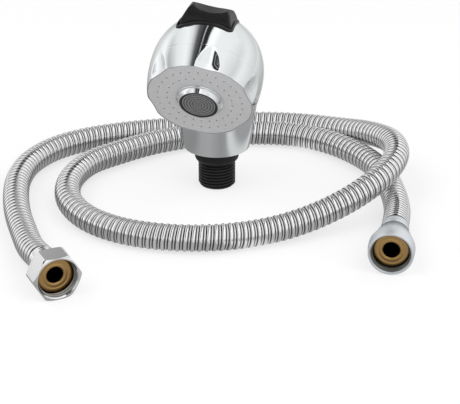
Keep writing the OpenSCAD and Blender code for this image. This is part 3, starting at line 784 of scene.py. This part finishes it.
# ---------------------------------------------------------------- head: inlet
def inlet():
    n = 240
    collar_top = NECK_Z + NECK_FLOOR + 0.05

    def ribbed(r):
        return lambda a: r - 0.1 * (0.5 + 0.5 * cos(60 * a)) ** 3
    below = [ring(r, z, n) for r, z in (
        (5, SPIGOT_TOP), (5, 21), (7.5, 20.9), (7.5, 3.6), (8.3, 3.5), (8.3, 0.3), (8.5, 0.05), (9.2, 0),
        (9.35, 0.12))]
    thread = thread_rings(THREAD_MINOR_R + 0.05, THREAD_R - THREAD_MINOR_R - 0.05, THREAD_PITCH, 0.3,
                          THREAD_L, n)
    above = [ring(r, z, n) for r, z in (
        (THREAD_MINOR_R + 0.1, THREAD_L + 0.1), (THREAD_MINOR_R + 0.1, THREAD_L + 0.9),
        (COLLAR_R - 0.9, THREAD_L + 1.6), (COLLAR_R - 0.35, THREAD_L + 2.3),
        (COLLAR_R - 0.05, THREAD_L + 3))]
    above += [ring(ribbed(COLLAR_R), z, n) for z in (THREAD_L + 3.3, NECK_Z - 0.4)]
    above += [ring(r, z, n) for r, z in (
        (COLLAR_R, NECK_Z - 0.1), (COLLAR_R, collar_top), (NECK_R - 2.5, collar_top),
        (NECK_R - 2.5, collar_top + 2.4), (PORT_R, collar_top + 2.4), (PORT_R, SPIGOT_TOP))]
    wound = (len(below), len(below) + len(thread) - 1, THREAD_STEPS)
    return rings_object("threaded_inlet", below + thread + above, UPRIGHT, 30, wound)


show(inlet(), INLET_BLACK, "head", "inlet_plastic", "inlet_connector")


# ---------------------------------------------------------------- head: rocker
def bezel():
    opening = [(x, y + ROCKER_Y) for x, y in rounded_rectangle(BEZEL_L, BEZEL_W, 3)]
    piece = prism("rocker_frame", opening, PIVOT_Z - 4, PIVOT_Z + 30)
    combine(piece, bulb("bezel_dome", -1.0), "INTERSECT")
    window = [(x, y + ROCKER_Y) for x, y in rounded_rectangle(ROCKER_L + 2.2, ROCKER_W + 0.8, 0.6)]
    combine(piece, prism("window", window, 80, 140), "DIFFERENCE")
    return soften(piece, 0.25, 5)


def rocker():
    """The saddle: a front view and a side view, crossed, then eased, at its rest tilt."""
    half, crown, lobe, saddle, skirt, corner = ROCKER_L / 2, 13.4, 9.2, 1.4, 3, 2.8
    right = [(x, crown - saddle * (1 - (x / lobe) ** 2)) for x in np.linspace(0, lobe - 0.3, 9)]
    right += [(lobe + corner * sin(a), crown - corner + corner * cos(a))
              for a in np.linspace(0, 1.35, 9)]
    right += [(half + 0.2, skirt + 4.0), (half + 0.6, skirt + 2.2), (half + 0.5, 3.8),
              (half, 1.6), (4, -0.6)]
    front = right + [(-x, z) for x, z in reversed(right[1:])]
    side = [(-ROCKER_W / 2, -4)]
    for u in np.linspace(-1, 1, 41):
        side.append((ROCKER_W / 2 * u, skirt + (crown - skirt) * (1 - abs(u) ** 2.6) ** (1 / 2.6)))
    side.append((ROCKER_W / 2, -4))
    stand_x = frame_at(Vector((0, 0, 0)), Vector((1, 0, 0)), Vector((0, 0, 1)), Vector((0, -1, 0)))
    stand_y = frame_at(Vector((0, 0, 0)), Vector((0, 1, 0)), Vector((0, 0, 1)), Vector((1, 0, 0)))
    piece = prism("rocker_saddle", front, -ROCKER_W / 2, ROCKER_W / 2, stand_x)
    combine(piece, prism("rocker_side", side, -half - 1, half + 1, stand_y), "INTERSECT")
    soften(piece, 0.3, 14)
    place = Matrix.Translation(Vector((0, ROCKER_Y, PIVOT_Z)) * MM) @ Matrix.Rotation(
        radians(ROCKER_TILT), 4, "Y")
    piece.data.transform(place)
    return piece


show(bezel(), BLACK, "head", "black_plastic", "rocker_bezel")
show(rocker(), BLACK, "rocker", "black_plastic", "rocker_button")

# ---------------------------------------------------------------- CAD nodes that stay
KEPT = {
    SATIN_PLATE: ["spray_face"],
    RUBBER: ["face_seal", "spool_rings", "connector_o_rings", "inlet_washer", "check_valve_seal",
             "hose_liner"],
    IVORY: ["flow_divider", "valve_body", "diverter_spool", "check_valve_cage", "check_valve_poppet",
            "hex_end_slip_ring", "cone_end_slip_ring"],
    STEEL: ["aerator_screens", "valve_body_screws", "rocker_pivot_pin", "inlet_strainer",
            "check_valve_spring"],
}
for material, names in KEPT.items():
    for name in names:
        NODES[name].data.materials.clear()
        NODES[name].data.materials.append(material)


# ---------------------------------------------------------------- floor and light
def ramp(tree, source, low, high, stops):
    """A colour ramp over source from low to high; stops are (value, brightness)."""
    span = tree.nodes.new("ShaderNodeMapRange")
    span.inputs["From Min"].default_value = low
    span.inputs["From Max"].default_value = high
    tree.links.new(source, span.inputs["Value"])
    node = tree.nodes.new("ShaderNodeValToRGB")
    elements = node.color_ramp.elements
    for i, (value, bright) in enumerate(stops):
        place = (value - low) / (high - low)
        stop = elements[i] if i < 2 else elements.new(place)
        stop.position = place
        stop.color = (bright, bright, bright, 1)
    tree.links.new(span.outputs["Result"], node.inputs["Fac"])
    return node.outputs["Color"]


def product(tree, a, b):
    node = tree.nodes.new("ShaderNodeMix")
    node.data_type = "RGBA"
    node.blend_type = "MULTIPLY"
    node.inputs[0].default_value = 1
    tree.links.new(a, node.inputs[6])
    tree.links.new(b, node.inputs[7])
    return node.outputs[2]


def floor_shader():
    """A pale floor: near white to look at; chrome mirrors it in greys, with darker and brighter bands: a
    painted reflection that only glossy rays see.
    """
    m = Nodes("pale_floor", Roughness=0.75, Specular_IOR_Level=0.1)
    m.colour(m.mix(m.noise(3, 2), (0.9, 0.9, 0.9), (0.93, 0.93, 0.93)))
    glow = m.add("ShaderNodeEmission", Strength=1.0)
    glow.inputs["Color"].default_value = (1.04, 1.04, 1.04, 1)
    lit = m.add("ShaderNodeMixShader")
    lit.inputs["Fac"].default_value = 0.65
    m.link(m.shader.outputs["BSDF"], lit.inputs[1])
    m.link(glow.outputs["Emission"], lit.inputs[2])
    split = m.add("ShaderNodeSeparateXYZ")
    m.link(m.where(), split.inputs["Vector"])
    distance = m.add("ShaderNodeVectorMath", operation="LENGTH")
    m.link(m.where(), distance.inputs[0])
    # Painted reflection: what the chrome sees of the floor, darker near the head, banded by side, with a
    # bright stripe.
    by_distance = ramp(m.tree, distance.outputs["Value"], 0, 1, [
        (0, 0.38), (1, 0.66), (0.06, 0.36), (0.09, 0.4), (0.16, 0.45), (0.3, 0.55)])
    by_side = ramp(m.tree, split.outputs["X"], -0.3, 0.3, [
        (-0.3, 1.1), (0.3, 1.2), (-0.12, 0.9), (-0.045, 0.75), (-0.03, 1.05), (-0.01, 1.1), (0.02, 0.85),
        (0.029, 0.95), (0.036, 1.9), (0.042, 1.9), (0.052, 1.0)])
    painted_reflection = m.add("ShaderNodeEmission", Strength=1.0)
    m.link(product(m.tree, by_distance, by_side), painted_reflection.inputs["Color"])
    choose = m.add("ShaderNodeMixShader")
    m.link(m.add("ShaderNodeLightPath").outputs["Is Glossy Ray"], choose.inputs["Fac"])
    m.link(lit.outputs["Shader"], choose.inputs[1])
    m.link(painted_reflection.outputs["Emission"], choose.inputs[2])
    m.link(choose.outputs["Shader"], m.tree.nodes["Material Output"].inputs["Surface"])
    return m.material


def floor_plane():
    mesh = bpy.data.meshes.new("floor")
    reach = 4.0
    corners = [(-reach, -reach, 0), (reach, -reach, 0), (reach, reach, 0), (-reach, reach, 0)]
    mesh.from_pydata(corners, [], [(0, 1, 2, 3)])
    plane = bpy.data.objects.new("floor", mesh)
    mesh.materials.append(floor_shader())
    bpy.context.scene.collection.objects.link(plane)


def softbox(name, place, target, size, power):
    data = bpy.data.lights.new(name, "AREA")
    data.shape = "RECTANGLE"
    data.size, data.size_y = size
    data.energy = power
    light = bpy.data.objects.new(name, data)
    light.location = place
    light.visible_glossy = False
    light.rotation_euler = (Vector(target) - Vector(place)).to_track_quat("-Z", "Y").to_euler()
    bpy.context.scene.collection.objects.link(light)


def studio():
    """Light all round: white overhead, greyer low down, with a dark stripe; plain to the camera."""
    world = bpy.data.worlds.new("studio")
    world.use_nodes = True
    tree = world.node_tree
    split = tree.nodes.new("ShaderNodeSeparateXYZ")
    tree.links.new(tree.nodes.new("ShaderNodeTexCoord").outputs["Generated"], split.inputs["Vector"])
    across, height = split.outputs["X"], split.outputs["Z"]
    by_height = ramp(tree, height, -1, 1, [
        (-1, 0.5), (1, 1.1), (-0.05, 0.62), (0.1, 0.7), (0.3, 0.82), (0.6, 1.0), (0.85, 1.05)])
    sides = ramp(tree, across, -1, 1, [
        (-1, 1.4), (1, 1.2), (-0.8, 1.35), (-0.6, 1.0), (-0.45, 0.65), (-0.2, 0.85), (0.1, 1.0)])
    gap = ramp(tree, across, -1, 1, [
        (-1, 0.5), (1, 0.7), (-0.85, 0.55), (-0.7, 0.9), (-0.5, 1.0), (-0.4, 0.8), (-0.33, 0.45),
        (-0.27, 0.12), (-0.15, 0.03), (-0.125, 0.03), (-0.112, 0.5), (-0.1, 0.5), (-0.088, 0.02),
        (0.02, 0.03), (0.055, 0.95), (0.12, 1.15), (0.3, 0.92), (0.6, 0.95)])
    overhead = ramp(tree, height, -1, 1, [(-1, 0), (1, 1), (0.3, 0), (0.5, 1)])
    plain = tree.nodes.new("ShaderNodeMix")
    plain.data_type = "RGBA"
    tree.links.new(sides, plain.inputs[6])
    tree.links.new(overhead, plain.inputs[0])
    tree.links.new(gap, plain.inputs[7])
    seen = tree.nodes.new("ShaderNodeMix")
    seen.data_type = "RGBA"
    seen.inputs[7].default_value = (1, 1, 1, 1)
    tree.links.new(tree.nodes.new("ShaderNodeLightPath").outputs["Is Camera Ray"], seen.inputs[0])
    tree.links.new(product(tree, by_height, plain.outputs[2]), seen.inputs[6])
    tree.links.new(seen.outputs[2], tree.nodes["Background"].inputs["Color"])
    tree.nodes["Background"].inputs["Strength"].default_value = 1.0
    bpy.context.scene.world = world


floor_plane()
softbox("key", (-0.5, -0.7, 1.3), (0, 0, 0.03), (1.0, 1.0), 6)
softbox("fill", (0.9, -0.6, 1.0), (0, 0, 0.03), (1.0, 1.0), 5)
studio()
bpy.context.scene.view_settings.view_transform = "Standard"
